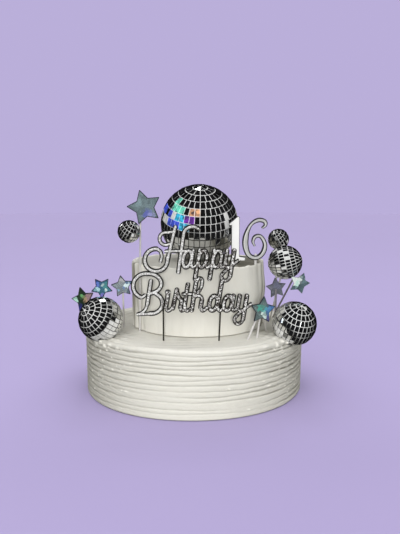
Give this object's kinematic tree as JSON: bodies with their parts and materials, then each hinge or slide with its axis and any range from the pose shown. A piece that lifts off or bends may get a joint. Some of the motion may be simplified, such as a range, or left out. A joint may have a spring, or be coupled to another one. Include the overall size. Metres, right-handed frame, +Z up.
{
  "type": "birthday cake with candles",
  "caption": "Round tiered birthday cake in white buttercream with mirror balls, foil stars on sticks, a cut-out script greeting and number candles, for a party table.",
  "frame": {"origin": "centre of the flat underside of the lower tier", "axes": "+Z up through the tiers, -Y towards the front where the greeting stands, +X to the right as seen from the front"},
  "size_m": [0.2811, 0.263, 0.2441],
  "materials": {
    "buttercream": "white buttercream, matt with a faint sheen, combed in ridges round the lower tier and smoothed on the upper one",
    "mirror_tile": "small silver mirror tiles set close in rows on a round core",
    "mirror_sheet": "silver mirror sheet with a fine glitter face and dark cut edges",
    "holographic_foil": "holographic foil that shows grey, teal, blue and violet patches",
    "silver_wax": "wax with a glossy silver coat",
    "white_plastic": "smooth pale plastic",
    "dark_plastic": "smooth dark plastic"
  },
  "bodies": {
    "root": {"lower_tier": "buttercream", "upper_tier": "buttercream", "mirror_ball_top": "mirror_tile", "mirror_ball_left": "mirror_tile", "mirror_ball_right": "mirror_tile", "mirror_ball_right_middle": "mirror_tile", "mirror_ball_right_small": "mirror_tile", "mirror_ball_left_small": "mirror_tile", "star_left_tall": "holographic_foil", "star_left_edge": "holographic_foil", "star_left_middle": "holographic_foil", "star_left_inner": "holographic_foil", "star_right_back": "holographic_foil", "star_right_folded": "holographic_foil", "star_right_front": "holographic_foil", "star_left_tall_stick": "white_plastic", "star_left_edge_stick": "white_plastic", "star_left_middle_stick": "white_plastic", "star_left_inner_stick": "white_plastic", "star_right_back_stick": "white_plastic", "star_right_folded_stick": "white_plastic", "star_right_front_stick": "white_plastic", "star_right_front_stick_left": "white_plastic", "star_right_front_stick_right": "white_plastic", "ball_right_middle_stick": "white_plastic", "ball_right_small_stick": "white_plastic", "candle_one_pick": "white_plastic", "candle_six_pick": "white_plastic", "greeting_pick_left": "dark_plastic", "greeting_pick_right": "dark_plastic", "greeting": "mirror_sheet", "candle_one": "silver_wax", "candle_six": "silver_wax"}
  },
  "joints": []
}
